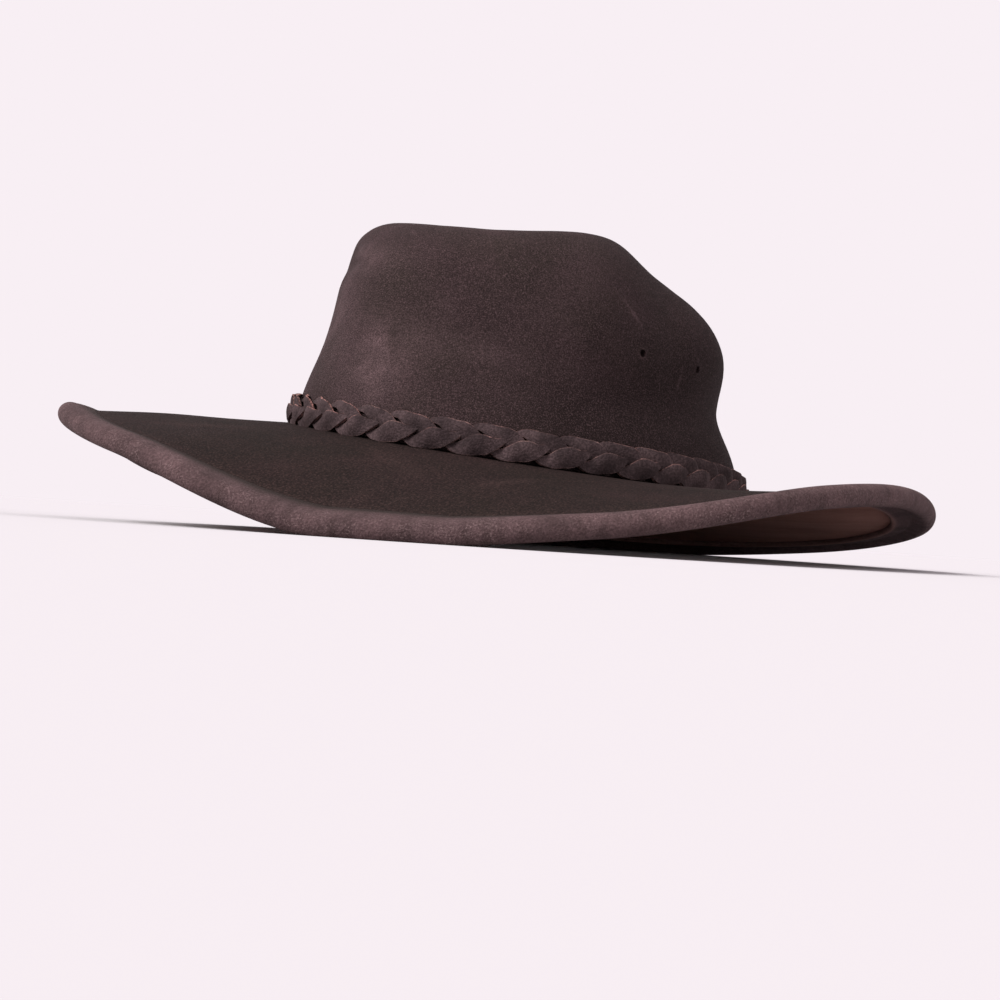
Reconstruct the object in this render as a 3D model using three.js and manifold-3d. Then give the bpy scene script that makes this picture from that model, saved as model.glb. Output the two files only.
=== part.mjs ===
// Leather hat: a crown pinched at the front, a wide shaped brim with a bound edge, a sweatband and
// a band braided from three strips. Millimetres, +Z up, the front towards -Y, and +X is the wearer's left.
// The origin is under the middle of the brim, on the surface that the hat rests on.
// A turn is an angle round the hat in degrees, 0 at the front and 90 at the wearer's left.
import * as THREE from 'three';
import { mergeVertices } from 'three/addons/utils/BufferGeometryUtils.js';
import Module from 'manifold-3d';

const wasm = await Module();
wasm.setup();

// Head opening, inside the sweatband
const headLength = 199;
const headWidth = 161;
const headBack = 10; // its middle lies this far behind the middle of the brim
const headRise = 27.3; // and this far above the surface
const headSaddle = 3.3; // its sides rise and its front and back dip by this much
const leanLeft = 6.3; // the opening leans towards the wearer's left, in degrees
const leanBack = 4.2;

// Brim
const brimLength = 328;
const brimWidth = 312;
const brimSquareness = 2.45; // exponent of the outline, 2 for an ellipse
const brimThick = 2.4;
const brimCurl = 36; // the highest lift of the rim above its resting height
const brimDroop = 0.45; // how much of the fall from crown to rim comes near the rim

// Crown
const crownThick = 2.2;
const crownHeight = 91; // from the opening to a ridge share of 1
const crownShiftLeft = 7; // the top lies this far towards the wearer's left of the opening
const crownShiftBack = 4;
const creaseDepth = 18; // hollow along the top, from front to back
const creaseWidth = 30;
const creaseLength = 62;
const creaseFlare = 0.35; // it widens by this share towards the back
const waistTop = 0.42; // share of the wall at which the waist is at its narrowest
const shoulderFoot = 0.45; // share of the wall that lies below the shoulder

// Edge binding
const beadRadius = 3.9; // the fold over the edge of the brim
const stripThick = 1.4;
const flapAbove = 10; // width of the strip on the brim's upper face
const skivedEnd = 0.4; // the thickness it is thinned to there
const flapBelow = 13;
const channelEnd = 1.2; // the channel for the brim ends this far inside the middle of the bead
const grooveDepth = 0.5; // below, the strip is stitched down by this much behind the bead
const rawEdgeLift = 0.3; // and its raw edge stands off by this much
const restingPress = 0.5; // the bead is flattened by this much where the hat rests

// Sweatband
const sweatThick = 1.6;
const sweatHeight = 30;
const sweatDrop = 1; // its hem hangs this far below the brim

// Braided band
const strandThick = 1.15;
const strandWidth = 4.55; // mean width of a strip
const strandNarrowing = 0.37; // share by which it is wider on top and narrower where it is covered
const narrowingLag = -54; // degrees of a weave
const strandTilt = 25; // a strip leans by up to this many degrees as it turns at the edge
const tiltLag = 46;
const braidReach = 4.45; // how far a strip's middle swings from the middle of the braid
const braidWave = 1.59; // and how far it rises and dips
const braidPeriods = 11;

// Vent holes
const ventRadius = 1.4;
const ventSides = 10;

const gap = 0.3; // clearance between pieces that touch
const around = 56; // steps round the hat

// The crown by direction: ridge is a share of crownHeight, waist and shoulder are shares of the radius
// that the wall loses above the band and at the ridge, start is the height share where the shoulder begins
const crownForm = [
  { turn: 0, ridge: 0.96, waist: 0.06, shoulder: 0.34, start: 0.58 },
  { turn: 45, ridge: 0.98, waist: 0.1, shoulder: 0.42, start: 0.46 },
  { turn: 90, ridge: 0.88, waist: 0.13, shoulder: 0.7, start: 0.6 },
  { turn: 135, ridge: 0.79, waist: 0.17, shoulder: 0.5, start: 0.49 },
  { turn: 180, ridge: 0.76, waist: 0.1, shoulder: 0.42, start: 0.5 },
  { turn: 225, ridge: 0.84, waist: 0.08, shoulder: 0.31, start: 0.6 },
  { turn: 270, ridge: 0.95, waist: 0.05, shoulder: 0.08, start: 0.7 },
  { turn: 315, ridge: 1, waist: 0.08, shoulder: 0.17, start: 0.68 },
];

// Dents pressed into the wall: rise and tall are shares of the wall, wide is in degrees,
// deep is a share of crownHeight
const dents = [
  { name: 'front panel', turn: 9, rise: 0.55, wide: 15, tall: 0.14, deep: 0.065 },
  { name: 'left pinch', turn: 60, rise: 0.7, wide: 13, tall: 0.14, deep: 0.05 },
  { name: 'right pinch', turn: -50, rise: 0.6, wide: 12, tall: 0.11, deep: 0.035 },
  { name: 'left nip above the band', turn: 85, rise: 0.29, wide: 42, tall: 0.07, deep: 0.03 },
  { name: 'right nip above the band', turn: -80, rise: 0.26, wide: 36, tall: 0.08, deep: 0.014 },
  { name: 'hollow at the back', turn: 180, rise: 0.5, wide: 20, tall: 0.16, deep: 0.03 },
];

// The lift of the rim by direction, as a share of brimCurl
const rimForm = [
  { turn: 0, lift: 0.014 },
  { turn: 30, lift: 0.15 },
  { turn: 60, lift: 0.56 },
  { turn: 90, lift: 0.63 },
  { turn: 120, lift: 0.4 },
  { turn: 150, lift: 0.14 },
  { turn: 180, lift: -0.01 },
  { turn: 210, lift: 0.06 },
  { turn: 240, lift: 0.22 },
  { turn: 270, lift: 0.57 },
  { turn: 300, lift: 1 },
  { turn: 330, lift: 0.68 },
];

// Vent holes, two in each side of the crown: rise is a share of the wall
const vents = [
  { turn: 49, rise: 0.48 },
  { turn: 74, rise: 0.42 },
  { turn: -49, rise: 0.48 },
  { turn: -74, rise: 0.42 },
];

const { clamp, lerp, smoothstep, euclideanModulo, degToRad: toRadians } = THREE.MathUtils;
const turns = Array.from({ length: around }, (_, i) => (360 * i) / around);
const crownOutset = sweatThick + gap + crownThick;
const halfBrim = brimThick / 2;
const meanRidge = crownForm.reduce((sum, row) => sum + row.ridge, 0) / crownForm.length;
const topRise = headRise + crownHeight * meanRidge;
const topMiddle = new THREE.Vector3(crownShiftLeft, headBack + crownShiftBack, topRise);
const wallPitch = 1.25; // height per share of the wall near its foot, as a share of crownHeight
const sweatLevels = [0, 0.5, 1].map((share) => (share * sweatHeight) / (wallPitch * crownHeight));

// A column of a table with evenly spaced directions, run smoothly through its rows
function byTurn(table, column, turn) {
  const place = euclideanModulo(turn, 360) / (360 / table.length);
  const row = Math.floor(place);
  const t = place - row;
  const [a, b, c, d] = [-1, 0, 1, 2].map((k) => table[(row + k + table.length) % table.length][column]);
  return b + 0.5 * t * (c - a + t * (2 * a - 5 * b + 4 * c - d + t * (3 * (b - c) + d - a)));
}

// Unit vector in plan: the front is -Y
function heading(turn) {
  const angle = toRadians(turn);
  return new THREE.Vector3(Math.sin(angle), -Math.cos(angle), 0);
}

const openingLean = new THREE.Euler(toRadians(-leanBack), toRadians(leanLeft), 0);

// A point on the edge of the head opening, moved outwards in plan and up along the opening's own axis
function openingPoint(turn, outset, lift) {
  const length = headLength / 2 + outset;
  const width = headWidth / 2 + outset;
  const way = heading(turn);
  const radius = 1 / Math.hypot(way.x / width, way.y / length);
  const saddle = -headSaddle * Math.cos(toRadians(2 * turn));
  const point = way.multiplyScalar(radius).setZ(saddle + lift);
  return point.applyEuler(openingLean).add(new THREE.Vector3(0, headBack, headRise));
}

// How far the wall is pushed in at a place
function dentDepth(turn, rise) {
  return dents.reduce((depth, dent) => {
    const across = (euclideanModulo(turn - dent.turn + 180, 360) - 180) / dent.wide;
    const up = (rise - dent.rise) / dent.tall;
    return depth + dent.deep * crownHeight * Math.exp(-(across ** 2 + up ** 2) / 2);
  }, 0);
}

// The outside of the crown's wall, from its foot at rise 0 to the ridge at rise 1
function wallPoint(turn, rise, dented = true) {
  const foot = openingPoint(turn, crownOutset, halfBrim + gap);
  const [ridge, waist, shoulder, start] = Object.keys(crownForm[0]).slice(1).map((column) => (
    byTurn(crownForm, column, turn)
  ));
  const arc = (clamp((rise - shoulderFoot) / (1 - shoulderFoot), 0, 1) * Math.PI) / 2;
  const up = rise < shoulderFoot ? (rise / shoulderFoot) * start : lerp(start, 1, Math.sin(arc));
  const reach = 1 - waist * smoothstep(rise, 0, waistTop) - shoulder * (1 - Math.cos(arc));
  const out = new THREE.Vector3(foot.x, foot.y - headBack, 0);
  out.setLength(out.length() * reach - (dented ? dentDepth(turn, rise) : 0));
  const z = lerp(foot.z, headRise + crownHeight * ridge, up);
  return new THREE.Vector3(crownShiftLeft * up + out.x, headBack + crownShiftBack * up + out.y, z);
}

// The top of the crown, from the ridge at share 1 to its middle at share 0, creased from front to back
function topPoint(turn, share) {
  const ridge = wallPoint(turn, 1);
  const point = topMiddle.clone().lerp(ridge, share);
  point.z = lerp(topMiddle.z, ridge.z, smoothstep(share, 0, 1));
  const along = (point.y - topMiddle.y) / creaseLength;
  const across = (point.x - topMiddle.x) / ((creaseWidth / 2) * (1 + creaseFlare * along));
  const inside = 1 - smoothstep(share, 0.5, 1);
  point.z -= creaseDepth * inside * Math.exp(-(across ** 2) - along ** 4);
  return point;
}

function crownPoint(turn, height) {
  return height <= 1 ? wallPoint(turn, height) : topPoint(turn, 2 - height);
}

// Outward direction of a surface that is given as a function of a turn and a second value
function outward(surface, turn, value, low, high) {
  const step = 0.01 * (high - low);
  const along = surface(turn + 1, value).sub(surface(turn - 1, value));
  const up = surface(turn, Math.min(value + step, high)).sub(surface(turn, Math.max(value - step, low)));
  return along.cross(up).normalize();
}

// The crown's surface moved inwards along its own direction; at the foot it moves level with the brim
function crownInside(turn, height, depth) {
  const way = height < 1.98 ? outward(crownPoint, turn, height, 0, 1.98) : new THREE.Vector3(0, 0, 1);
  if (height === 0) way.setZ(0).normalize();
  return crownPoint(turn, height).addScaledVector(way, -depth);
}

// Middle of the brim's thickness: share 0 is under the crown's outer face, share 1 is the rim,
// and share -1 is the inner edge
function brimPoint(turn, share) {
  if (share <= 0) return openingPoint(turn, lerp(crownOutset, sweatThick + gap, -share), 0);
  const foot = openingPoint(turn, crownOutset, 0);
  const way = heading(turn);
  const plan = (Math.abs((2 * way.x) / brimWidth) ** brimSquareness
    + Math.abs((2 * way.y) / brimLength) ** brimSquareness) ** (-1 / brimSquareness);
  const lift = Math.max(0, brimCurl * byTurn(rimForm, 'lift', turn) - restingPress);
  const rim = way.multiplyScalar(plan).setZ(beadRadius - restingPress + lift);
  const fall = (1 - brimDroop) * share + brimDroop * share * share;
  return new THREE.Vector3(lerp(foot.x, rim.x, share), lerp(foot.y, rim.y, share), lerp(foot.z, rim.z, fall));
}

function brimFace(turn, share, height) {
  return brimPoint(turn, share).addScaledVector(outward(brimPoint, turn, share, -1, 1).negate(), height);
}

// A closed body through rings of points; a body that isn't a ring itself ends in a point at both ends
function loft(rings, ends) {
  const count = rings[0].length;
  const points = rings.flat();
  const faces = [];
  const bands = ends ? rings.length - 1 : rings.length;
  for (let r = 0; r < bands; r++) {
    const next = (r + 1) % rings.length;
    for (let i = 0; i < count; i++) {
      const j = (i + 1) % count;
      const [a, b, c, d] = [r * count + i, r * count + j, next * count + j, next * count + i];
      faces.push([a, b, c], [a, c, d]);
    }
  }
  if (ends) {
    const first = points.length;
    points.push(...ends);
    for (let i = 0; i < count; i++) {
      const j = (i + 1) % count;
      const last = (rings.length - 1) * count;
      faces.push([first, j, i], [first + 1, last + i, last + j]);
    }
  }
  return facingOut(points, faces);
}

function facingOut(points, faces) {
  const volume = faces.reduce((sum, [a, b, c]) => sum + points[a].dot(points[b].clone().cross(points[c])), 0);
  const geometry = new THREE.BufferGeometry().setFromPoints(points);
  geometry.setIndex(faces.flatMap(([a, b, c]) => (volume > 0 ? [a, b, c] : [a, c, b])));
  geometry.computeVertexNormals();
  return geometry;
}

function toSolid(geometry) {
  const plain = geometry.clone();
  plain.deleteAttribute('normal');
  plain.deleteAttribute('uv');
  const merged = mergeVertices(plain, 1e-4);
  return new wasm.Manifold(new wasm.Mesh({
    numProp: 3,
    vertProperties: new Float32Array(merged.attributes.position.array),
    triVerts: new Uint32Array(merged.index.array),
  }));
}

function toGeometry(solid) {
  const mesh = solid.getMesh();
  const geometry = new THREE.BufferGeometry();
  geometry.setAttribute('position', new THREE.BufferAttribute(mesh.vertProperties, 3));
  geometry.setIndex(new THREE.BufferAttribute(mesh.triVerts, 1));
  geometry.computeVertexNormals();
  return geometry;
}

// Crown: outer face down to the foot, then the inner face back up, with the vents punched through
function crown() {
  const outerLevels = [
    0, 0.06, 0.12, 0.18, 0.25, 0.33, 0.42, 0.5, 0.58, 0.66, 0.75, 0.85, 0.94, 1.03, 1.2, 1.4, 1.6, 1.8,
  ];
  const innerLevels = [...sweatLevels, 0.34, 0.42, 0.5, 0.6, 0.7, 0.82, 0.94, 1.05, 1.3, 1.6];
  const outer = outerLevels.map((level) => turns.map((turn) => crownPoint(turn, level)));
  const inner = innerLevels.map((level) => turns.map((turn) => crownInside(turn, level, crownThick)));
  const ends = [crownPoint(0, 2), crownInside(0, 2, crownThick)];
  let solid = toSolid(loft([...outer.reverse(), ...inner], ends));
  for (const vent of vents) solid = solid.subtract(toSolid(ventPunch(vent)));
  return toGeometry(solid);
}

function ventPunch({ turn, rise }) {
  const way = outward(crownPoint, turn, rise, 0, 1.98);
  const punch = new THREE.CylinderGeometry(ventRadius, ventRadius, 4 * crownThick, ventSides);
  punch.applyQuaternion(new THREE.Quaternion().setFromUnitVectors(new THREE.Vector3(0, 1, 0), way));
  return punch.translate(...crownInside(turn, rise, crownThick / 2));
}

// Brim: the upper face from the head opening to the rim, and the lower face back.
// Its last rows are set by their distance from the middle of the bead, inside which the brim ends.
function brim() {
  const rows = [
    ...[-1, 0, 0.1, 0.28, 0.46, 0.64].map((share) => () => share),
    ...[flapBelow, flapBelow / 2, channelEnd + gap].map((inset) => (turn) => 1 - inset / brimReach(turn)),
  ];
  const face = (height) => rows.map((share) => turns.map((turn) => brimFace(turn, share(turn), height)));
  return loft([...face(halfBrim), ...face(-halfBrim).reverse()]);
}

function brimReach(turn) {
  return brimPoint(turn, 1).distanceTo(brimPoint(turn, 0));
}

// Edge binding: a strip folded over the rim, with a round bead at the fold and a raised edge below.
// Its section runs clockwise from the end of the upper flap: out from the rim, and up from the brim's middle.
function edgeBinding() {
  const near = halfBrim + gap;
  const far = near + stripThick;
  const behindBead = 1.45 * beadRadius;
  const bead = [120, 90, 60, 30, 0, -30, -60, -90, -120].map((angle) => {
    const a = toRadians(angle);
    return [beadRadius * Math.cos(a), beadRadius * Math.sin(a)];
  });
  const section = [
    [-flapAbove, near],
    [-flapAbove, near + skivedEnd],
    [-behindBead, far],
    ...bead,
    [-behindBead, grooveDepth - far],
    [stripThick - flapBelow, -far - rawEdgeLift],
    [-flapBelow, -near - stripThick / 2],
    [-flapBelow, -near],
    [-channelEnd, -near],
    [-channelEnd, near],
  ];
  return loft(section.map(([out, up]) => turns.map((turn) => {
    const share = 1 + Math.min(0, out) / brimReach(turn);
    const point = brimFace(turn, share, up);
    const rim = brimPoint(turn, 1);
    const way = rim.clone().sub(brimPoint(turn, 0.99)).normalize();
    point.addScaledVector(way, Math.max(0, out));
    return point.setZ(Math.max(0, point.z));
  })));
}

// Sweatband: lies inside the crown and hangs just below the brim
function sweatband() {
  const hem = (outset) => turns.map((turn) => openingPoint(turn, outset, -halfBrim - sweatDrop));
  const face = (depth) => sweatLevels.map((level) => turns.map((turn) => crownInside(turn, level, depth)));
  const outer = [hem(sweatThick), ...face(crownThick + gap)];
  const inner = [hem(0), ...face(crownThick + gap + sweatThick)];
  return loft([...outer, ...inner.reverse()]);
}

// The braid's middle line round the foot of the crown, with its directions along, up the wall and outwards
function braidLine() {
  const steps = 360;
  const standOff = braidWave + strandThick + gap;
  const halfHeight = braidReach + strandWidth / 2;
  const foot = (turn) => (shoulderFoot * halfHeight) / (crownHeight * byTurn(crownForm, 'start', turn));
  const surface = (turn, rise) => wallPoint(turn, rise, false);
  const frames = Array.from({ length: steps }, (_, i) => {
    const turn = (360 * i) / steps;
    const out = outward(surface, turn, foot(turn), 0, 1);
    return { point: surface(turn, foot(turn)).addScaledVector(out, standOff), out };
  });
  frames.forEach((frame, i) => {
    const next = frames[(i + 1) % steps].point;
    const last = frames[(i + steps - 1) % steps].point;
    frame.along = next.clone().sub(last).normalize();
    frame.up = frame.out.clone().cross(frame.along).normalize();
    frame.out.crossVectors(frame.along, frame.up);
    frame.length = next.distanceTo(frame.point);
  });
  return frames;
}

// One strip of the braid: it swings from edge to edge, over the others on its way in and under on its way out
function strand(order) {
  const line = braidLine();
  const total = line.reduce((sum, frame) => sum + frame.length, 0);
  const steps = braidPeriods * 12;
  const corners = [[], [], [], []];
  let index = 0;
  let passed = 0;
  for (let i = 0; i < steps; i++) {
    const distance = (total * i) / steps;
    while (passed + line[index].length <= distance) {
      passed += line[index].length;
      index += 1;
    }
    const a = line[index];
    const b = line[(index + 1) % line.length];
    const t = (distance - passed) / a.length;
    const [point, up, out] = ['point', 'up', 'out'].map((key) => a[key].clone().lerp(b[key], t));
    const phase = 2 * Math.PI * ((braidPeriods * i) / steps + order / 3);
    const swing = braidReach * Math.sin(phase);
    const wave = -braidWave * Math.sin(2 * phase);
    const half = (strandWidth / 2) * (1 + strandNarrowing * Math.cos(2 * phase - toRadians(narrowingLag)));
    const tilt = -toRadians(strandTilt) * Math.cos(phase - toRadians(tiltLag));
    [[-1, -1], [1, -1], [1, 1], [-1, 1]].forEach(([side, face], corner) => {
      const across = swing + side * half * Math.cos(tilt);
      const off = wave + side * half * Math.sin(tilt) + (face * strandThick) / 2;
      corners[corner].push(point.clone().addScaledVector(up, across).addScaledVector(out, off));
    });
  }
  return loft(corners);
}

function piece(name, geometry, color, roughness) {
  const mesh = new THREE.Mesh(geometry, new THREE.MeshStandardMaterial({ color, roughness, metalness: 0 }));
  mesh.name = name;
  return mesh;
}

const hat = new THREE.Group();
hat.add(
  piece('crown', crown(), 0x453836, 0.8),
  piece('brim', brim(), 0x3c3230, 0.8),
  piece('edge_binding', edgeBinding(), 0x544341, 0.95),
  piece('sweatband', sweatband(), 0x141214, 0.6),
);
for (let order = 0; order < 3; order++) {
  hat.add(piece(`band_strand_${order + 1}`, strand(order), 0x4a3b3a, 0.85));
}

export default hat;
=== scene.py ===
import math
import bmesh
import bpy
import numpy as np
from mathutils import Matrix, Vector, noise


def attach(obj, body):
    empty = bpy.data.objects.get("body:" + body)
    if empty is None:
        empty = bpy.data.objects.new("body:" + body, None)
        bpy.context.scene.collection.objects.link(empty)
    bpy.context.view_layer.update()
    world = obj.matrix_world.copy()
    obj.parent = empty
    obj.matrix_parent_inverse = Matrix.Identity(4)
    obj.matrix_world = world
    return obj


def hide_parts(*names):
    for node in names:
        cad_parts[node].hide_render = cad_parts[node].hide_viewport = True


# Leather hat. The front is towards -Y and +X is the wearer's left.
# Lengths in the dictionaries are millimetres.
# A turn is in degrees round the hat: 0 in front, 90 at the wearer's left.
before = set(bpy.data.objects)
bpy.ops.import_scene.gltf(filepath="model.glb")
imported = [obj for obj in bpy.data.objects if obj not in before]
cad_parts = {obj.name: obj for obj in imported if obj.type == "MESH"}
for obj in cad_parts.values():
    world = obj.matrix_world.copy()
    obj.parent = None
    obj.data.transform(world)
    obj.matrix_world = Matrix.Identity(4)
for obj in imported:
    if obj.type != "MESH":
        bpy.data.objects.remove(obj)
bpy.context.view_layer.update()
mm = 0.001
touch = 0.3  # between pieces that touch

opening = {
    "length": 199,
    "width": 161,
    "back": 10,
    "rise": 27.3,
    "saddle": 3.3,  # the sides rise and the front and back dip
    "leanLeft": 6.3,
    "leanBack": 4.2,
}

brimLeather = {
    "length": 328,
    "width": 312,
    "squareness": 2.45,  # 2 is an ellipse
    "thickness": 2.4,
    "curl": 36,
    "droop": 0.45,
    # how far the rim is lifted every 30 degrees, as shares of curl
    "rimLift": [0.014, 0.15, 0.56, 0.63, 0.4, 0.14, -0.01, 0.06, 0.22, 0.57, 1, 0.68],
    "around": 320,
    "rows": 44,
    "ripple": 0.35,
    "rimWear": 0.55,  # how pale the leather is rubbed beside the binding
}

crownLeather = {
    "height": 91,
    "thickness": 2.2,
    "shiftLeft": 7,
    "shiftBack": 4,
    "waistTop": 0.42,
    "shoulderFoot": 0.45,
    "creaseDepth": 18,
    "creaseWidth": 30,
    "creaseLength": 62,
    "creaseFlare": 0.35,
    # every 45 degrees
    "ridge": [0.96, 0.98, 0.88, 0.79, 0.76, 0.84, 0.95, 1],
    "waist": [0.06, 0.1, 0.13, 0.17, 0.1, 0.08, 0.05, 0.08],
    "shoulder": [0.34, 0.42, 0.7, 0.5, 0.42, 0.31, 0.08, 0.17],
    "start": [0.58, 0.46, 0.6, 0.49, 0.5, 0.6, 0.7, 0.68],
    "around": 288,
    "outerRows": 92,
    "innerRows": 40,
    "wallRows": 0.62,  # share of the rows that the wall has
    "ripple": 0.3,
    "rippleSizes": (26, 9),
    # where the left pinch meets the crease, in a soft fold
    "foldMiddle": (14, 21, 70),
    "foldReach": 44,
    "foldCore": 0.3,  # share of the reach that is smoothed in full
    "foldPasses": 90,
}

# Hollows pressed in by hand, and below them the small creases and ridges of the worn leather.
# rise and tall are shares of the wall, wide is in degrees, deep is a share of the crown's height
crownDents = [
    {"name": "front panel", "turn": 9, "rise": 0.55, "wide": 15, "tall": 0.14, "deep": 0.065},
    {"name": "left pinch", "turn": 60, "rise": 0.7, "wide": 13, "tall": 0.14, "deep": 0.05},
    {"name": "right pinch", "turn": -50, "rise": 0.6, "wide": 12, "tall": 0.11, "deep": 0.035},
    {"name": "left nip", "turn": 85, "rise": 0.29, "wide": 42, "tall": 0.07, "deep": 0.03},
    {"name": "right nip", "turn": -80, "rise": 0.26, "wide": 36, "tall": 0.08, "deep": 0.014},
    {"name": "hollow at the back", "turn": 180, "rise": 0.5, "wide": 20, "tall": 0.16, "deep": 0.03},
    {"name": "kink in the right outline", "turn": -40, "rise": 0.57, "wide": 11, "tall": 0.025, "deep": 0.02},
    {"name": "edge of the front panel", "turn": 35, "rise": 0.62, "wide": 6, "tall": 0.17, "deep": -0.012},
    {"name": "ridge above the band", "turn": 16, "rise": 0.33, "wide": 14, "tall": 0.045, "deep": -0.01},
    {"name": "crease beside the left vent", "turn": 62, "rise": 0.44, "wide": 5, "tall": 0.1, "deep": 0.008},
]

rimBinding = {
    "bead": 3.9,
    "strip": 1.4,
    "above": 10,
    "below": 13,
    "channelEnd": 1.2,
    "groove": 0.5,
    "rawLift": 0.3,
    "ragged": 0.45,  # how far its cut edge wanders
    "press": 0.5,  # flattened where it rests
    "around": 480,
    "stepsPerSpan": 5,
}

sweatLeather = {
    "thickness": 1.6,
    "height": 30,
    "drop": 1,
    "pitch": 1.25,  # how much faster than its rise the foot of the wall climbs
    "around": 240,
    "rows": 14,
}

# just short of the middle of the top, where all directions round the hat meet
topEnd = 1.98
crownOutset = sweatLeather["thickness"] + touch + crownLeather["thickness"]
halfBrim = brimLeather["thickness"] / 2
lean = np.array(Matrix.Rotation(math.radians(-opening["leanBack"]), 3, "X")
                @ Matrix.Rotation(math.radians(opening["leanLeft"]), 3, "Y"))


def smoothstep(value, low, high):
    t = np.clip((value - low) / (high - low), 0, 1)
    return t * t * (3 - 2 * t)


def allRound(count):
    return np.arange(count) * 360 / count


# evenly spaced values run smoothly round the hat
def byTurn(values, turn):
    values = np.array(values, float)
    place = np.mod(turn, 360) / (360 / len(values))
    row = np.floor(place).astype(int)
    t = place - row
    a, b, c, d = (values[(row + k) % len(values)] for k in (-1, 0, 1, 2))
    return b + 0.5 * t * (c - a + t * (2 * a - 5 * b + 4 * c - d + t * (3 * (b - c) + d - a)))


def heading(turn):
    return np.column_stack([np.sin(np.radians(turn)), -np.cos(np.radians(turn))])


# on the edge of the head opening, moved outwards and up along the opening's own axis
def openingPoint(turn, outset, lift):
    way = heading(turn)
    halves = np.array([opening["width"] / 2 + outset, opening["length"] / 2 + outset])
    radius = 1 / np.hypot(*(way / halves).T)
    saddle = -opening["saddle"] * np.cos(np.radians(2 * turn))
    point = np.column_stack([way * radius[:, None], saddle + lift])
    return point @ lean.T + [0, opening["back"], opening["rise"]]


# a soft spot on the crown: 1 at its middle
def spot(row, turn, rise):
    across = (np.mod(turn - row["turn"] + 180, 360) - 180) / row["wide"]
    return np.exp(-(across ** 2 + ((rise - row["rise"]) / row["tall"]) ** 2) / 2)


def wallPoint(turn, rise, dented=True):
    c = crownLeather
    foot = openingPoint(turn, crownOutset, halfBrim + touch)
    ridge, waist, shoulder, start = (byTurn(c[key], turn) for key in ("ridge", "waist", "shoulder", "start"))
    arc = np.clip((rise - c["shoulderFoot"]) / (1 - c["shoulderFoot"]), 0, 1) * math.pi / 2
    up = np.where(rise < c["shoulderFoot"], rise / c["shoulderFoot"] * start, start + (1 - start) * np.sin(arc))
    reach = 1 - waist * smoothstep(rise, 0, c["waistTop"]) - shoulder * (1 - np.cos(arc))
    out = foot[:, :2] - [0, opening["back"]]
    length = np.hypot(*out.T)
    dent = sum(row["deep"] * c["height"] * spot(row, turn, rise) for row in crownDents) if dented else 0
    out = out * ((length * reach - dent) / length)[:, None]
    z = foot[:, 2] + (opening["rise"] + c["height"] * ridge - foot[:, 2]) * up
    return np.column_stack([c["shiftLeft"] * up + out[:, 0], opening["back"] + c["shiftBack"] * up + out[:, 1], z])


# from the ridge at share 1 to the middle of the top at share 0, with the crease from front to back
def topPoint(turn, share):
    c = crownLeather
    ridge = wallPoint(turn, 1)
    height = opening["rise"] + c["height"] * np.mean(c["ridge"])
    middle = np.array([c["shiftLeft"], opening["back"] + c["shiftBack"], height])
    point = middle + (ridge - middle) * share
    along = (point[:, 1] - middle[1]) / c["creaseLength"]
    across = (point[:, 0] - middle[0]) / (c["creaseWidth"] / 2 * (1 + c["creaseFlare"] * along))
    crease = c["creaseDepth"] * (1 - smoothstep(share, 0.5, 1)) * np.exp(-across ** 2 - along ** 4)
    point[:, 2] = middle[2] + (ridge[:, 2] - middle[2]) * smoothstep(share, 0, 1) - crease
    return point


# height 0 to 1 is the wall, 1 to 2 the top
def crownPoint(turn, height):
    return wallPoint(turn, height) if height <= 1 else topPoint(turn, 2 - height)


# the way out of a surface, from short steps round the hat and along the value, which runs from low to high
def outward(surface, turn, value, low, high):
    step = 0.01 * (high - low)
    along = surface(turn + 1, value) - surface(turn - 1, value)
    up = surface(turn, np.minimum(value + step, high)) - surface(turn, np.maximum(value - step, low))
    way = np.cross(along, up)
    return way / np.linalg.norm(way, axis=1)[:, None]


# below the crown's outer face: straight down in the middle of the top, and level at the foot
def crownInside(turn, height, depth):
    if height < topEnd:
        way = outward(crownPoint, turn, height, 0, topEnd)
    else:
        way = np.tile([0.0, 0.0, 1.0], (len(turn), 1))
    if height == 0:
        way[:, 2] = 0
        way /= np.linalg.norm(way, axis=1)[:, None]
    return crownPoint(turn, height) - way * depth


# middle of the brim's thickness: share 0 is under the crown's outer face and share 1 the rim
def brimPoint(turn, share):
    b = brimLeather
    share = np.broadcast_to(share, turn.shape).astype(float)
    foot = openingPoint(turn, crownOutset, 0)
    seat = openingPoint(turn, sweatLeather["thickness"] + touch, 0)
    way = heading(turn)
    scaled = np.abs(way / np.array([b["width"] / 2, b["length"] / 2])) ** b["squareness"]
    plan = way * (scaled.sum(axis=1) ** (-1 / b["squareness"]))[:, None]
    lift = np.maximum(0, b["curl"] * byTurn(b["rimLift"], turn) - rimBinding["press"])
    rim = np.column_stack([plan, rimBinding["bead"] - rimBinding["press"] + lift])
    fall = (1 - b["droop"]) * share + b["droop"] * share ** 2
    point = foot + (rim - foot) * np.column_stack([share, share, fall])
    angle = np.radians(turn)
    # 5, 8 and 13 waves round the brim, of which two slant as they run out
    wave = np.sin(5 * angle + 1) + 0.7 * np.sin(8 * angle + 4 * share) + 0.5 * np.sin(13 * angle - 7 * share)
    point[:, 2] += b["ripple"] * np.sin(math.pi * np.clip(share, 0, 1)) ** 2 * wave
    return np.where(share[:, None] < 0, foot + (seat - foot) * -share[:, None], point)


def brimFace(turn, share, height):
    return brimPoint(turn, share) - outward(brimPoint, turn, share, -1, 1) * height


def brimReach(turn):
    return np.linalg.norm(brimPoint(turn, 1) - brimPoint(turn, 0), axis=1)


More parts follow.
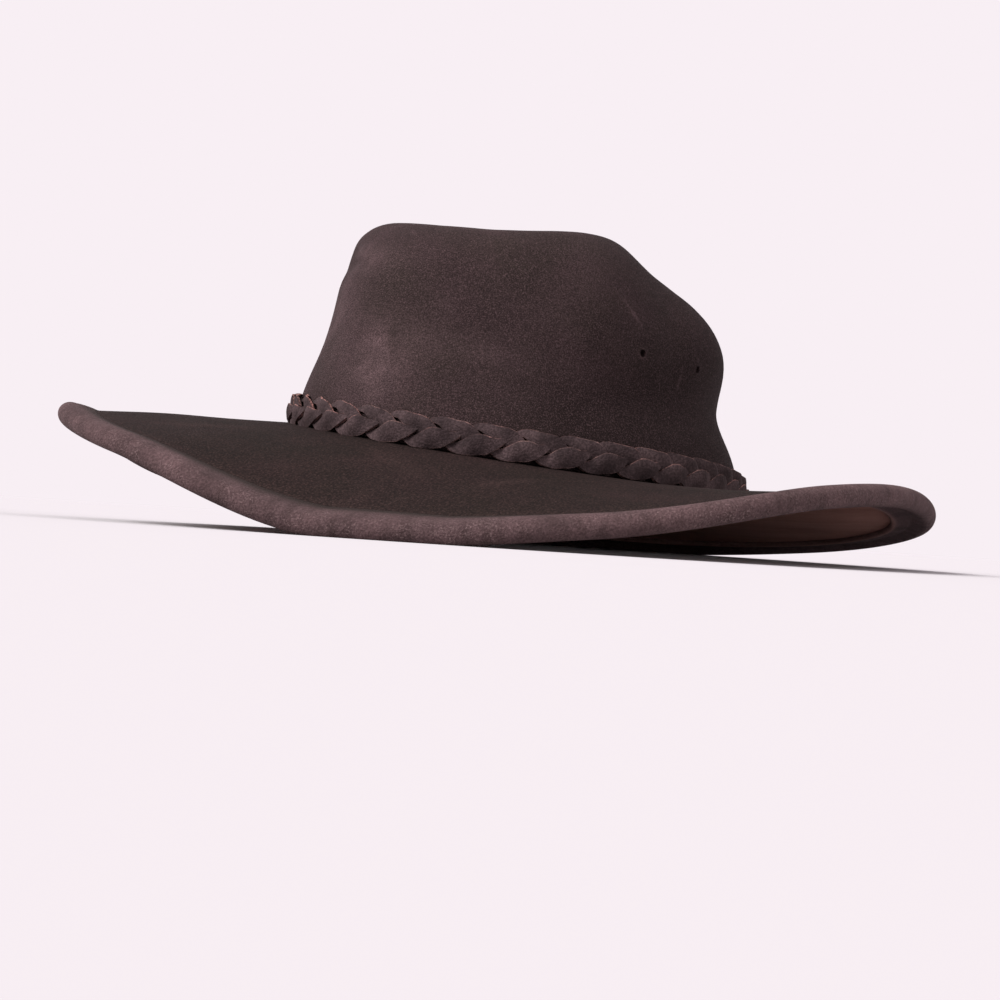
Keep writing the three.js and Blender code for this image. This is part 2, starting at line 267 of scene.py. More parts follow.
# A skin through rings of points: a circle is extruded from ring to ring, and joined up where rings coincide.
# marks are values that the material reads, a list of rings for each name
def loft(name, rings, marks=None):
    marks = marks or {}
    mesh = bmesh.new()
    bmesh.ops.create_circle(mesh, segments=len(rings[0]), radius=1)
    layers = {}
    for key, values in marks.items():
        kind = mesh.verts.layers.float_vector if np.ndim(values[0]) == 2 else mesh.verts.layers.float
        layers[key] = kind.new(key)
    row = list(mesh.verts)
    edges = list(mesh.edges)
    for k, ring in enumerate(rings):
        if k:
            grown = bmesh.ops.extrude_edge_only(mesh, edges=edges)["geom"]
            fresh = {part for part in grown if isinstance(part, bmesh.types.BMVert)}
            row = [next(e.other_vert(v) for e in v.link_edges if e.other_vert(v) in fresh) for v in row]
            edges = [part for part in grown if isinstance(part, bmesh.types.BMEdge) and fresh.issuperset(part.verts)]
        for i, vert in enumerate(row):
            vert.co = ring[i] * mm
            for key, layer in layers.items():
                value = marks[key][k][i]
                vert[layer] = Vector(value) if np.ndim(value) else float(value)
    bmesh.ops.remove_doubles(mesh, verts=mesh.verts, dist=0.002 * mm)
    bmesh.ops.recalc_face_normals(mesh, faces=mesh.faces)
    for face in mesh.faces:
        face.smooth = True
    return mesh


def finishPiece(name, mesh, materials, node):
    data = bpy.data.meshes.new(name)
    mesh.to_mesh(data)
    mesh.free()
    piece = bpy.data.objects.new(name, data)
    bpy.context.scene.collection.objects.link(piece)
    for material in materials:
        data.materials.append(material)
    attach(piece, "root")
    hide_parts(node)
    print(name, len(data.polygons), "faces")
    return piece


def linear(hexColour):
    channels = [int(hexColour[i:i + 2], 16) / 255 for i in (1, 3, 5)]
    return (*[c / 12.92 if c <= 0.04045 else ((c + 0.055) / 1.055) ** 2.4 for c in channels], 1)


def addNode(tree, kind, inputs=None, **settings):
    node = tree.nodes.new("ShaderNode" + kind)
    for key, value in settings.items():
        setattr(node, key, value)
    for socket, value in (inputs or {}).items():
        if isinstance(value, bpy.types.NodeSocket):
            tree.links.new(value, node.inputs[socket])
        else:
            node.inputs[socket].default_value = value
    return node


def perMetre(size):
    return 1 / (size * mm)


# Noise of a given size in mm, stretched between two of its levels to 0..1
def cloud(tree, coordinates, size, detail=3, low=0.35, high=0.65, rough=0.55, distortion=0):
    field = addNode(tree, "TexNoise", {
        "Vector": coordinates, "Scale": perMetre(size), "Detail": detail, "Roughness": rough,
        "Distortion": distortion,
    })
    spread = addNode(tree, "MapRange", {"Value": field.outputs["Fac"], "From Min": low, "From Max": high})
    return spread.outputs["Result"]


def mix(tree, share, first, second):
    return addNode(tree, "MixRGB", {"Fac": share, "Color1": first, "Color2": second}).outputs["Color"]


def product(tree, first, second):
    return addNode(tree, "Math", {0: first, 1: second}, operation="MULTIPLY", use_clamp=True).outputs["Value"]


def startLeather(name, roughness, sheen, sheenTint):
    material = bpy.data.materials.new(name)
    material.use_nodes = True
    tree = material.node_tree
    shader = tree.nodes["Principled BSDF"]
    shader.inputs["Roughness"].default_value = roughness
    shader.inputs["IOR"].default_value = 1.45
    shader.inputs["Specular IOR Level"].default_value = 0.08
    shader.inputs["Sheen Weight"].default_value = sheen
    shader.inputs["Sheen Roughness"].default_value = 0.45
    shader.inputs["Sheen Tint"].default_value = linear(sheenTint)
    coordinates = addNode(tree, "TexCoord").outputs["Object"]
    return material, tree, shader, coordinates


# heights are pairs of a pattern and its depth in mm
def addRelief(tree, shader, heights):
    normal = None
    for height, depth in heights:
        inputs = {"Height": height, "Distance": depth * mm, "Strength": 1}
        if normal:
            inputs["Normal"] = normal
        normal = addNode(tree, "Bump", inputs).outputs["Normal"]
    tree.links.new(normal, shader.inputs["Normal"])


# 1 in the middle of a long thin scuff, and 0 past its ends and sides
def scuffFade(tree, coordinates, scuff):
    depth = 4  # more than the surface bends or ripples over its length
    near = addNode(tree, "Mapping", {
        "Vector": coordinates, "Location": scuff["middle"], "Rotation": scuff["turned"],
        "Scale": (scuff["wide"] * mm, scuff["long"] * mm, depth * mm),
    }, vector_type="TEXTURE").outputs["Vector"]
    return addNode(tree, "TexGradient", {"Vector": near}, gradient_type="SPHERICAL").outputs["Fac"]


# where a scuff lies on a surface, and how it is turned there
def placeScuff(row, surface, low, high):
    place = np.array([row["turn"]], float)
    way = Vector(outward(surface, place, row["at"], low, high)[0])
    across = Vector((surface(place + 1, row["at"]) - surface(place - 1, row["at"]))[0]).normalized()
    along = Matrix.Rotation(math.radians(row["slant"]), 3, way) @ across.cross(way)
    turned = Matrix((along.cross(way), along, way)).transposed().to_euler()
    return {**row, "middle": Vector(surface(place, row["at"])[0]) * mm, "turned": turned}


# Oiled nubuck: the grain side buffed to a short nap. Matt, in soft clouds of olive and mauve brown,
# with a fine pebble and pale places where it is rubbed. On the crown the pale marks also paint highlights on lit
# ridges, and painted shade darkens hollows and the side away from the lamp
def makeNubuck(name, tones, patchSize, grain, scuffs):
    material, tree, shader, coordinates = startLeather(name, 0.9, 0.02, tones["wearAndHighlight"])
    colour = mix(tree, cloud(tree, coordinates, patchSize, 3), linear(tones["olive"]), linear(tones["mauve"]))
    shade = cloud(tree, coordinates, patchSize * 0.6, 4, 0.3, 0.7)
    colour = mix(tree, product(tree, shade, 0.45), colour, linear(tones["deep"]))
    # pale wear, and on the crown painted highlights on lit ridges
    wearAndHighlight = addNode(tree, "Attribute", attribute_name="wearAndHighlight").outputs["Fac"]
    uneven = cloud(tree, coordinates, 9, 4, 0.2, 0.75)
    colour = mix(tree, product(tree, wearAndHighlight, uneven), colour, linear(tones["wearAndHighlight"]))
    # painted shade, drawn towards the deep tone
    paintedShadeMask = addNode(tree, "Attribute", attribute_name="paintedShade").outputs["Fac"]
    colour = mix(tree, product(tree, paintedShadeMask, 0.8), colour, linear(tones["deep"]))
    for scuff in scuffs:
        streak = product(tree, scuffFade(tree, coordinates, scuff), cloud(tree, coordinates, 2.5, 3, 0.3, 0.6))
        colour = mix(tree, product(tree, streak, scuff["amount"]), colour, linear(tones["wearAndHighlight"]))
    pebble = cloud(tree, coordinates, grain, 2, 0.38, 0.6)
    fleck = cloud(tree, coordinates, 0.75 * grain, 1, 0.5, 0.74)
    colour = mix(tree, product(tree, pebble, 0.6), colour, linear(tones["pit"]))
    colour = mix(tree, product(tree, fleck, 0.34), colour, linear(tones["wearAndHighlight"]))
    tree.links.new(colour, shader.inputs["Base Color"])
    addRelief(tree, shader, [(cloud(tree, coordinates, 7, 3), 0.12), (pebble, -0.12)])
    return material


# Split suede: the fibrous flesh side, brushed one way, so its shade runs in streaks
def makeSuede(name, tones):
    material, tree, shader, coordinates = startLeather(name, 0.9, 0.2, tones["light"])
    stretched = addNode(tree, "Mapping", {"Vector": coordinates, "Scale": (0.3, 1, 1)}).outputs["Vector"]
    streaks = cloud(tree, stretched, 13, 4, 0.3, 0.7, 0.6, 0.4)
    colour = mix(tree, streaks, linear(tones["dark"]), linear(tones["base"]))
    colour = mix(tree, product(tree, cloud(tree, stretched, 34, 3, 0.4, 0.75), 0.7), colour, linear(tones["light"]))
    brushed = addNode(tree, "Mapping", {"Vector": coordinates, "Scale": (0.45, 1, 1)}).outputs["Vector"]
    fibre = cloud(tree, brushed, 0.9, 3)
    colour = mix(tree, product(tree, fibre, 0.35), colour, linear(tones["dark"]))
    tree.links.new(colour, shader.inputs["Base Color"])
    addRelief(tree, shader, [(cloud(tree, coordinates, 11, 3), 0.12), (fibre, 0.1)])
    return material


# Suede strip, folded over the rim: its nap is scuffed up pale along the fold
def makeBinding(name, tones):
    material, tree, shader, coordinates = startLeather(name, 0.92, 0.12, tones["speck"])
    nap = addNode(tree, "Attribute", attribute_name="nap").outputs["Vector"]
    fold = addNode(tree, "Attribute", attribute_name="fold").outputs["Fac"]
    rawEdge = addNode(tree, "Attribute", attribute_name="rawEdge").outputs["Fac"]
    streaks = cloud(tree, nap, 3.4, 4, 0.3, 0.7)
    patches = cloud(tree, coordinates, 14, 4, 0.36, 0.68)
    scuffed = mix(tree, streaks, linear(tones["dark"]), linear(tones["base"]))
    scuffed = mix(tree, product(tree, patches, 0.6), scuffed, linear(tones["light"]))
    fuzz = cloud(tree, coordinates, 0.8, 2, 0.38, 0.62)
    speck = product(tree, cloud(tree, coordinates, 0.6, 2, 0.52, 0.76), cloud(tree, coordinates, 10, 3, 0.3, 0.7))
    scuffed = mix(tree, product(tree, fuzz, 0.45), scuffed, linear(tones["pit"]))
    scuffed = mix(tree, product(tree, speck, 0.55), scuffed, linear(tones["speck"]))
    colour = mix(tree, fold, linear(tones["top"]), scuffed)
    colour = mix(tree, product(tree, rawEdge, 0.8), colour, linear(tones["raw"]))
    tree.links.new(colour, shader.inputs["Base Color"])
    addRelief(tree, shader, [(streaks, 0.12), (fuzz, -0.16)])
    return material


# Smooth drum-dyed leather: black, with a dull shine from wear
def makeSweatLeather(name, tones):
    material, tree, shader, coordinates = startLeather(name, 0.55, 0, tones["light"])
    colour = mix(tree, cloud(tree, coordinates, 18, 3), linear(tones["dark"]), linear(tones["light"]))
    tree.links.new(colour, shader.inputs["Base Color"])
    addRelief(tree, shader, [(cloud(tree, coordinates, 1.2, 3), 0.08)])
    return material


# Strips cut from nubuck: dark faces, and pale fibres along the cut edges
def makeBraidLeather(name, tones):
    material, tree, shader, coordinates = startLeather(name, 0.86, 0.06, tones["raw"])
    cut = addNode(tree, "Attribute", attribute_name="rawEdge").outputs["Fac"]
    colour = mix(tree, cloud(tree, coordinates, 9, 3), linear(tones["dark"]), linear(tones["base"]))
    fibre = cloud(tree, coordinates, 0.75, 2, 0.36, 0.6)
    colour = mix(tree, product(tree, fibre, 0.5), colour, linear(tones["pit"]))
    fringe = product(tree, cut, cloud(tree, coordinates, 0.9, 3, 0.34, 0.56))
    fringe = product(tree, fringe, cloud(tree, coordinates, 9, 2, 0.3, 0.56))
    pinker = mix(tree, cloud(tree, coordinates, 20, 2), linear(tones["raw"]), linear(tones["pink"]))
    colour = mix(tree, fringe, colour, pinker)
    tree.links.new(colour, shader.inputs["Base Color"])
    addRelief(tree, shader, [(fibre, 0.12)])
    return material


crownTones = {"olive": "#2d2422", "mauve": "#36292a", "deep": "#191110", "pit": "#0f0a0a", "wearAndHighlight": "#655052"}
brimTones = {"olive": "#1d1613", "mauve": "#271b1a", "deep": "#130e0d", "pit": "#0b0808", "wearAndHighlight": "#4b3936"}
suedeTones = {"dark": "#7c574d", "base": "#966e63", "light": "#b0877b"}
bindingTones = {
    "top": "#221c1a", "dark": "#332727", "base": "#49393a", "light": "#5a4647",
    "pit": "#231a1a", "speck": "#836e6d", "raw": "#8a6b64",
}
sweatTones = {"dark": "#080707", "light": "#100e0e"}
braidTones = {"dark": "#2f2526", "base": "#483a3b", "pit": "#181212", "raw": "#8e7069", "pink": "#a87871"}


# Pale places where handling has rubbed the nap, and painted highlights on lit ridges: amount 0 to 1. Negative
# amounts are painted shade, in hollows, under the bulge above the band and on the side away from the lamp
crownWearAndPaintedLight = [
    {"name": "left of the panel, low", "turn": -13, "rise": 0.24, "wide": 6, "tall": 0.1, "amount": 0.7},
    {"name": "right shoulder", "turn": -33, "rise": 0.62, "wide": 10, "tall": 0.05, "amount": 0.6},
    {"name": "right front edge", "turn": -42, "rise": 0.36, "wide": 12, "tall": 0.12, "amount": 0.6},
    # painted highlight where the ridge faces up to the lamp
    {"name": "ridge above the band", "turn": 15, "rise": 0.34, "wide": 13, "tall": 0.05, "amount": 0.4},
    # painted highlight where the panel's edge faces the lamp
    {"name": "edge of the panel", "turn": 33, "rise": 0.6, "wide": 6, "tall": 0.16, "amount": 0.3},
    {"name": "top edge", "turn": -10, "rise": 0.97, "wide": 32, "tall": 0.06, "amount": 0.3},
    # the three below are painted shade: in the hollow of the panel, under the bulge above the band, and on the side
    # turned away from the lamp
    {"name": "hollow of the panel", "turn": 12, "rise": 0.56, "wide": 12, "tall": 0.1, "amount": -0.3},
    {"name": "low on the left front", "turn": 42, "rise": 0.17, "wide": 19, "tall": 0.15, "amount": -1.2},
    {"name": "left side", "turn": 78, "rise": 0.45, "wide": 26, "tall": 0.45, "amount": -0.9},
    {"name": "back left", "turn": 150, "rise": 0.5, "wide": 14, "tall": 0.2, "amount": 0.4},
    {"name": "back right", "turn": -130, "rise": 0.4, "wide": 16, "tall": 0.16, "amount": 0.4},
]

# at is the rise on the wall, and slant is in degrees from straight up
crownScuffs = [
    {"turn": 45, "at": 0.59, "slant": 42, "long": 8, "wide": 1.4, "amount": 0.5},
    {"turn": 66, "at": 0.38, "slant": -25, "long": 5, "wide": 1.2, "amount": 0.35},
    {"turn": -18, "at": 0.8, "slant": 60, "long": 7, "wide": 1.3, "amount": 0.25},
    {"turn": 140, "at": 0.55, "slant": 30, "long": 9, "wide": 1.5, "amount": 0.35},
]


# from the foot of the wall to the middle of the top
def crownHeights(rows):
    wall = np.linspace(0, 1, int(rows * crownLeather["wallRows"]))
    top = np.linspace(1, 2, int(rows * (1 - crownLeather["wallRows"])))
    return np.concatenate([wall, top[1:]])


# smoothed in full at its core, and less and less out to its reach
def softenFold(mesh):
    c = crownLeather
    fold = Vector(c["foldMiddle"]) * mm
    reach = c["foldReach"] * mm
    soft = [v for v in mesh.verts if v.co.z > fold.z and (v.co - fold).xy.length < reach]
    before = [v.co.copy() for v in soft]
    for _ in range(c["foldPasses"]):
        bmesh.ops.smooth_vert(mesh, verts=soft, factor=0.5, use_axis_x=True, use_axis_y=True, use_axis_z=True)
    shares = smoothstep(np.array([(place - fold).xy.length for place in before]), reach, c["foldCore"] * reach)
    for vert, place, share in zip(soft, before, shares):
        vert.co = place.lerp(vert.co, share)


# small waves of worn leather, away from the middle of the opening
def rippleCrown(mesh):
    middle = Vector((0, opening["back"], opening["rise"])) * mm
    large, small = crownLeather["rippleSizes"]
    for vert in mesh.verts:
        wave = noise.noise(vert.co * perMetre(large)) + 0.35 * noise.noise(vert.co * perMetre(small))
        vert.co += (vert.co - middle).normalized() * wave * crownLeather["ripple"] * mm


def buildCrown():
    c = crownLeather
    turn = allRound(c["around"])
    rings, wearAndHighlight, paintedShade = [], [], []
    for height in crownHeights(c["outerRows"])[::-1]:
        rings.append(crownPoint(turn, height))
        # pale wear and painted highlight where the amount is positive, painted shade where it is negative
        wearAndPaintedLight = sum(row["amount"] * spot(row, turn, height) for row in crownWearAndPaintedLight)
        wearAndHighlight.append(np.clip(wearAndPaintedLight, 0, 1))
        paintedShade.append(np.clip(-wearAndPaintedLight, 0, 1))
    for height in crownHeights(c["innerRows"]):
        rings.append(crownInside(turn, height, c["thickness"]))
        wearAndHighlight.append(np.zeros(len(turn)))
        paintedShade.append(np.zeros(len(turn)))
    mesh = loft("crownShell", rings, {"wearAndHighlight": wearAndHighlight, "paintedShade": paintedShade})
    softenFold(mesh)
    rippleCrown(mesh)
    scuffs = [placeScuff(row, crownPoint, 0, topEnd) for row in crownScuffs]
    leather = makeNubuck("oiledNubuck", crownTones, 30, 0.55, scuffs)
    piece = finishPiece("crownShell", mesh, [leather], "crown")
    for turn, rise in ventHoles["places"]:
        punchVent(piece, turn, rise)


ventHoles = {
    "radius": 1.4,
    "sides": 20,
    "places": [(49, 0.48), (74, 0.42), (-49, 0.48), (-74, 0.42)],  # turn, and rise on the wall
    "lip": 0.35,
    "lipReach": 0.9,
    "lipWear": 0.9,  # how pale its lower side is rubbed
    "fineReach": 6,
}


# the mesh is made finer round the hole before it is punched, and its lip is raised
def punchVent(piece, turn, rise):
    v = ventHoles
    place = np.array([turn], float)
    middle = Vector(crownInside(place, rise, crownLeather["thickness"] / 2)[0]) * mm
    way = Vector(outward(crownPoint, place, rise, 0, topEnd)[0])
    mesh = bmesh.new()
    mesh.from_mesh(piece.data)
    near = v["fineReach"] * mm
    close = [e for e in mesh.edges if all((p.co - middle).length < near for p in e.verts)]
    bmesh.ops.subdivide_edges(mesh, edges=close, cuts=3, use_grid_fill=True)
    wearAndHighlight = mesh.verts.layers.float["wearAndHighlight"]
    for vert in mesh.verts:
        off = vert.co - middle
        if off.length < near and off.dot(way) > 0:
            flat = off - way * off.dot(way)
            radial = flat.length / mm
            lip = math.exp(-((radial - v["radius"]) / v["lipReach"]) ** 2)
            vert.co += way * v["lip"] * mm * lip
            vert[wearAndHighlight] = min(1, vert[wearAndHighlight] + v["lipWear"] * lip * max(0, 0.3 - flat.normalized().z))
    mesh.to_mesh(piece.data)
    mesh.free()
    cutter = bmesh.new()
    turned = way.to_track_quat("Z", "Y").to_matrix().to_4x4()
    radius = v["radius"] * mm
    bmesh.ops.create_cone(cutter, cap_ends=True, segments=v["sides"], radius1=radius, radius2=radius,
                          depth=5 * crownLeather["thickness"] * mm, matrix=Matrix.Translation(middle) @ turned)
    data = bpy.data.meshes.new("ventPunch")
    cutter.to_mesh(data)
    cutter.free()
    punch = bpy.data.objects.new("ventPunch", data)
    bpy.context.scene.collection.objects.link(punch)
    cut = piece.modifiers.new("ventCut", "BOOLEAN")
    cut.object = punch
    cut.operation = "DIFFERENCE"
    cut.solver = "EXACT"
    applyModifiers(piece)
    bpy.data.objects.remove(punch)


def applyModifiers(piece):
    graph = bpy.context.evaluated_depsgraph_get()
    shaped = bpy.data.meshes.new_from_object(piece.evaluated_get(graph))
    old = piece.data
    piece.modifiers.clear()
    piece.data = shaped
    bpy.data.meshes.remove(old)


# at is the share of the way out to the rim, and slant is in degrees from straight in
brimScuffs = [
    {"turn": 20, "at": 0.45, "slant": 55, "long": 22, "wide": 5, "amount": 0.3},
    {"turn": 3, "at": 0.35, "slant": -50, "long": 26, "wide": 6, "amount": 0.25},
    {"turn": 32, "at": 0.3, "slant": 75, "long": 10, "wide": 1.5, "amount": 0.35},
    {"turn": 8, "at": 0.75, "slant": 35, "long": 7, "wide": 1.5, "amount": 0.3},
    {"turn": -35, "at": 0.5, "slant": 20, "long": 24, "wide": 8, "amount": 0.3},
    {"turn": 160, "at": 0.5, "slant": 70, "long": 22, "wide": 6, "amount": 0.3},
]


# from the sweatband out to the channel of the binding, above and then back below
def buildBrim():
    b = brimLeather
    turn = allRound(b["around"])
    last = 1 - (rimBinding["channelEnd"] + touch) / brimReach(turn)
    rows = [-1, -0.5] + [share * last for share in np.linspace(0, 1, b["rows"])]
    rings, wearAndHighlight, paintedShade = [], [], []
    for side, order in ((1, rows), (-1, rows[::-1])):
        for share in order:
            rings.append(brimFace(turn, share, side * halfBrim))
            wearAndHighlight.append(b["rimWear"] * smoothstep(np.broadcast_to(share, turn.shape), 0.8, 1.02))
            paintedShade.append(np.zeros(len(turn)))
    mesh = loft("brimPanel", rings + rings[:1], {"wearAndHighlight": wearAndHighlight + wearAndHighlight[:1], "paintedShade": paintedShade + paintedShade[:1]})
    for face in mesh.faces:
        face.material_index = int(face.normal.z < 0)
    scuffs = [placeScuff(row, brimPoint, -1, 1) for row in brimScuffs]
    materials = [makeNubuck("brimNubuck", brimTones, 34, 0.9, scuffs), makeSuede("splitSuede", suedeTones)]
    finishPiece("brimPanel", mesh, materials, "brim")


# smooth run through a few points of a section
def runThrough(points, steps):
    points = np.array(points, float)
    padded = np.vstack([2 * points[0] - points[1], points, 2 * points[-1] - points[-2]])
    run = []
    for k in range(1, len(padded) - 2):
        a, b, c, d = padded[k - 1:k + 3]
        for t in np.arange(steps) / steps:
            run.append(b + 0.5 * t * (c - a + t * (2 * a - 5 * b + 4 * c - d + t * (3 * (b - c) + d - a))))
    return np.array(run + [points[-1]])


# The section's points are (out from the rim, up from the middle of the brim's thickness): over the top,
# round the bead, back below to the strip's raw edge, and along the channel that holds the brim
def buildBinding():
    r = rimBinding
    turn = allRound(r["around"])
    near = halfBrim + 0.05
    far = halfBrim + touch + r["strip"]
    behind = 1.45 * r["bead"]
    top = [(-r["above"], near), (-0.8 * r["above"], near + 0.45), (-behind, 2.65), (-0.75 * r["bead"], 3.4)]
    bead = [(r["bead"] * math.cos(a), r["bead"] * math.sin(a)) for a in np.radians(range(112, -113, -14))]
    under = [(-0.75 * r["bead"], -3.15), (-behind, r["groove"] - far), (-1.75 * r["bead"], 0.35 - far),
             (-0.8 * r["below"], -far - 0.1), (r["strip"] - r["below"], -far - r["rawLift"]),
             (0.35 - r["below"], -far + 0.1), (-r["below"], -near - r["strip"] / 2), (0.15 - r["below"], -near)]
    section = runThrough(top + bead + under, r["stepsPerSpan"])
    section = np.vstack([section, [(-r["channelEnd"], -near), (-r["channelEnd"], near), section[0]]])
    rim = brimPoint(turn, 1)
    way = rim - brimPoint(turn, 0.99)
    way /= np.linalg.norm(way, axis=1)[:, None]
    reach = brimReach(turn)
    lengths = np.concatenate([[0], np.cumsum(np.hypot(*np.diff(section, axis=0).T))])
    ragged = np.array([noise.noise(Vector(p) / 3.5) + 0.6 * noise.noise(Vector(p) / 1.4) for p in rim])
    rings, fold, rawEdge, nap = [], [], [], []
    for (out, up), length in zip(section, lengths):
        ring = brimFace(turn, 1 + min(0, out) / reach, up) + way * max(0, out)
        raw = math.exp(-((out + r["below"] - 0.9) / 1.1) ** 2) if up < -near else 0
        ring = ring + way * (r["ragged"] * raw * ragged)[:, None]
        ring[:, 2] = np.maximum(0, ring[:, 2])
        rings.append(ring)
        folded = float(smoothstep(out, -0.95 * r["above"], -0.35 * r["bead"])) if up > 0 else 1
        fold.append(np.full(len(turn), folded))
        rawEdge.append(np.full(len(turn), raw))
        nap.append(np.column_stack([rim[:, :2] * mm, np.full(len(turn), 0.25 * length * mm)]))
    mesh = loft("rimBinding", rings, {"fold": fold, "rawEdge": rawEdge, "nap": nap})
    leather = makeBinding("scuffedSuede", bindingTones)
    finishPiece("rimBinding", mesh, [leather], "edge_binding")


# up from its rounded hem along the crown, over the top edge and down again inside
def buildSweatband():
    s = sweatLeather
    turn = allRound(s["around"])
    top = s["height"] / (s["pitch"] * crownLeather["height"])
    deep = crownLeather["thickness"] + touch
    levels = [top * k / s["rows"] for k in range(s["rows"] + 1)]
    hem = -halfBrim - s["drop"]
    rings = [openingPoint(turn, outset * s["thickness"], hem + lift) for outset, lift in ((0.75, 0), (1, 0.4))]
    rings += [crownInside(turn, level, deep) for level in levels]
    rings.append(crownInside(turn, levels[-1], deep + s["thickness"] / 2) + [0, 0, 0.5])
    rings += [crownInside(turn, level, deep + s["thickness"]) for level in levels[::-1]]
    rings += [openingPoint(turn, outset * s["thickness"], hem + lift) for outset, lift in ((0, 0.4), (0.25, 0))]
    mesh = loft("sweatBand", rings + rings[:1])
    leather = makeSweatLeather("dyedLeather", sweatTones)
    finishPiece("sweatBand", mesh, [leather], "sweatband")


# the lengths before they are scaled by size
braidLeather = {
    "size": 0.81,
    "periods": 13,
    "stepsPerPeriod": 40,
    "thickness": 1.25,
    "reach": 7.2,  # half the height of the band
    # how a strip runs up and down over one weave: sine and cosine once, and three times
    "path": (4.62, 0.23, 0.3, -1.2),
    "wave": 1.35,  # how far it runs in and out
    "waveLag": 0.42,
    "tilt": (0.18, 0.32),  # the upper edge of each leaf stands out
    "cup": 0.5,
    "halfWidth": (2.8, 1.45),
    "widestAt": -0.96,
    "lowerWider": 0.25,
    "lean": 0.9,  # the lower edge of the band stands off the crown
    "facePoints": 13,
    "corner": 0.12,
    "ragged": 0.16,
    "raggedFrom": 0.72,  # shares of the half width where the edge is ragged, and where it is raw
    "rawFrom": 0.94,
    "lowerRaw": 0.45,  # how much of the pale fringe the lower edge has
}


def plainWall(turn, rise):
    return wallPoint(turn, rise, dented=False)


# the middle line of the braid, with its directions up the wall and outwards, at even steps
def braidLine(count):
    b = braidLeather
    samples = allRound(720)
    halfHeight = b["size"] * b["reach"]
    climb = crownLeather["height"] * byTurn(crownLeather["start"], samples)
    foot = crownLeather["shoulderFoot"] * halfHeight / climb
    standOff = b["size"] * (b["wave"] + b["thickness"] / 2 + 0.6 * b["lean"]) + touch
    out = outward(plainWall, samples, foot, 0, 1)
    point = plainWall(samples, foot) + out * standOff
    along = np.roll(point, -1, axis=0) - np.roll(point, 1, axis=0)
    along /= np.linalg.norm(along, axis=1)[:, None]
    up = np.cross(out, along)
    up /= np.linalg.norm(up, axis=1)[:, None]
    out = np.cross(along, up)
    steps = np.linalg.norm(np.roll(point, -1, axis=0) - point, axis=1)
    passed = np.concatenate([[0], np.cumsum(steps)])
    even = np.arange(count) * passed[-1] / count
    resampled = []
    for values in (point, up, out):
        closed = np.vstack([values, values[:1]])
        resampled.append(np.column_stack([np.interp(even, passed, closed[:, k]) for k in range(3)]))
    return resampled


def buildStrip(order, material):
    b = braidLeather
    count = b["periods"] * b["stepsPerPeriod"]
    point, up, out = braidLine(count)
    phase = 2 * math.pi * (np.arange(count) * b["periods"] / count + order / 3)
    sine, cosine, sineThrice, cosineThrice = b["path"]
    swing = (sine * np.sin(phase) + cosine * np.cos(phase)
             + sineThrice * np.sin(3 * phase) + cosineThrice * np.cos(3 * phase))
    wave = -b["wave"] * np.sin(2 * phase - b["waveLag"]) - b["lean"] * np.sin(phase)
    # 1 in the middle of a leaf that shows, -1 where the strip runs behind
    leaf = np.cos(2 * (phase - b["widestAt"]))
    tilt = b["tilt"][0] + b["tilt"][1] * leaf - b["lean"] / sine
    cup = b["cup"] * (0.5 + 0.5 * leaf)
    half = b["halfWidth"][0] + b["halfWidth"][1] * leaf - b["lowerWider"] * np.sin(phase)
    reach = np.sin(np.linspace(-1, 1, b["facePoints"]) * math.pi / 2)
    # across the outer face and back across the inner one: share of the half width, and side of the strip
    section = [(v, 1) for v in reach] + [(1.0, 0.4), (1.0, -0.4)]
    section += [(v, -1) for v in reach[::-1]] + [(-1.0, -0.4), (-1.0, 0.4)]
    rings, rawEdge = [], []
    for share, face in section:
        inset = b["corner"] if abs(face) == 1 and abs(share) == 1 else 0
        v = half * share * (1 - inset / half)
        slope = tilt - cup * v / 4
        across = swing + v * np.cos(tilt)
        off = wave + v * np.sin(tilt) - cup * v ** 2 / 8
        lift = face * b["thickness"] / 2
        across = across - np.sin(slope) * lift
        off = off + np.cos(slope) * lift
        ring = point + (up * across[:, None] + out * off[:, None]) * b["size"]
        edge = smoothstep(abs(share), b["raggedFrom"], 1)
        shift = np.array([noise.noise(Vector(p) / 1.1) + noise.noise(Vector(p) / 3) for p in ring])
        ring = ring + up * (b["ragged"] * edge * np.sign(share) * shift)[:, None]
        rings.append(ring)
        fuzzy = smoothstep(abs(share), b["rawFrom"], 1) if abs(face) == 1 else 1
        rawEdge.append(np.full(count, fuzzy * (1 if share > 0 else b["lowerRaw"])))
    mesh = loft("braidStrip", rings + rings[:1], {"rawEdge": rawEdge + rawEdge[:1]})
    finishPiece(f"braidStrip{order + 1}", mesh, [material], f"band_strand_{order + 1}")


photoView = {
    "plan": (293.1, -752.6),  # where the camera stands, as in the photograph
    "height": 6,  # the photograph's is below the surface, so this one stands just above it
    "aim": (-6.3, 8.5, 17.3),
    "roll": 3.67,
    "focal": 75.1,
}


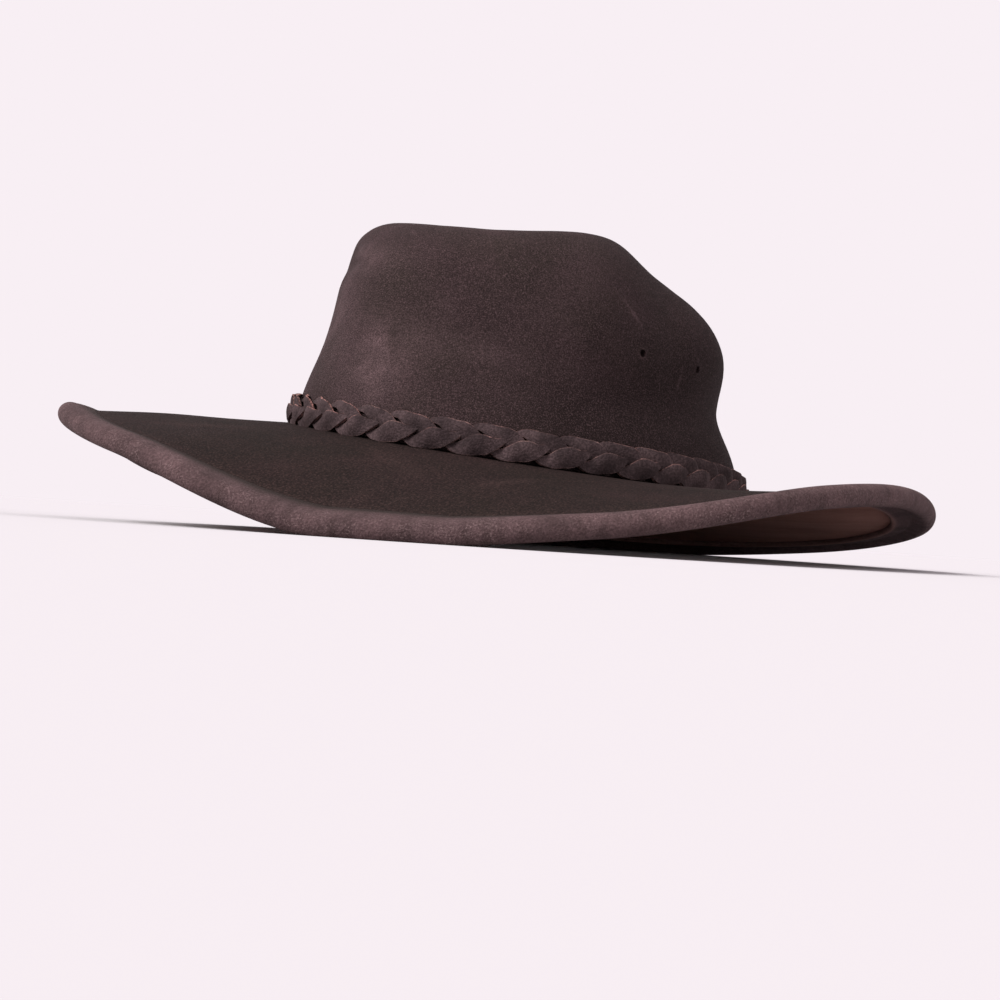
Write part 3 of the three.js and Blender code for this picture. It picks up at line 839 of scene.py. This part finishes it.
def placeCamera():
    view = photoView
    camera = bpy.data.objects.new("photoCamera", bpy.data.cameras.new("photoCamera"))
    bpy.context.scene.collection.objects.link(camera)
    camera.data.sensor_width = 36
    camera.data.lens = view["focal"]
    camera.data.clip_start = 0.01
    camera.data.clip_end = 100
    place = Vector((*view["plan"], view["height"]))
    back = (place - Vector(view["aim"])).normalized()
    levelRight = Vector((0, 0, 1)).cross(back).normalized()
    roll = math.radians(view["roll"])
    right = levelRight * math.cos(roll) + back.cross(levelRight) * math.sin(roll)
    turned = Matrix((right, back.cross(right), back)).transposed().to_4x4()
    camera.matrix_world = Matrix.Translation(place * mm) @ turned
    bpy.context.scene.camera = camera


studio = {
    "background": "#f8eff4",
    "surround": 1.0,
    "floor": "#b2aeb0",  # with the lamps on it, as pale as the background
    "floorReach": 30,  # in metres, so that its edge is lost in the background
    "key": {"turn": -35, "above": 40, "spread": 35, "strength": 5.5},
    "low": {"turn": 85, "above": 7, "spread": 10, "strength": 1},  # reaches under the curled rim
}


def placeStudio():
    scene = bpy.context.scene
    scene.view_settings.view_transform = "Standard"
    world = bpy.data.worlds.new("paleSurround")
    world.use_nodes = True
    world.node_tree.nodes["Background"].inputs["Color"].default_value = linear(studio["background"])
    world.node_tree.nodes["Background"].inputs["Strength"].default_value = studio["surround"]
    scene.world = world
    for name in ("key", "low"):
        lamp = studio[name]
        turn, above = math.radians(lamp["turn"]), math.radians(lamp["above"])
        way = Vector((math.sin(turn) * math.cos(above), -math.cos(turn) * math.cos(above), math.sin(above)))
        light = bpy.data.objects.new(name + "Light", bpy.data.lights.new(name + "Light", "SUN"))
        light.data.angle = math.radians(lamp["spread"])
        light.data.energy = lamp["strength"]
        light.matrix_world = way.to_track_quat("Z", "Y").to_matrix().to_4x4()
        scene.collection.objects.link(light)
    mesh = bmesh.new()
    bmesh.ops.create_grid(mesh, x_segments=1, y_segments=1, size=studio["floorReach"])
    data = bpy.data.meshes.new("paleFloor")
    mesh.to_mesh(data)
    mesh.free()
    floor = bpy.data.objects.new("paleFloor", data)
    scene.collection.objects.link(floor)
    material = bpy.data.materials.new("paleFloorPaint")
    material.use_nodes = True
    shader = material.node_tree.nodes["Principled BSDF"]
    shader.inputs["Base Color"].default_value = linear(studio["floor"])
    shader.inputs["Roughness"].default_value = 1
    shader.inputs["Specular IOR Level"].default_value = 0
    data.materials.append(material)
    print("studio ready")


placeCamera()
placeStudio()
buildCrown()
buildBrim()
buildBinding()
buildSweatband()
braidMaterial = makeBraidLeather("cutNubuck", braidTones)
for order in range(3):
    buildStrip(order, braidMaterial)
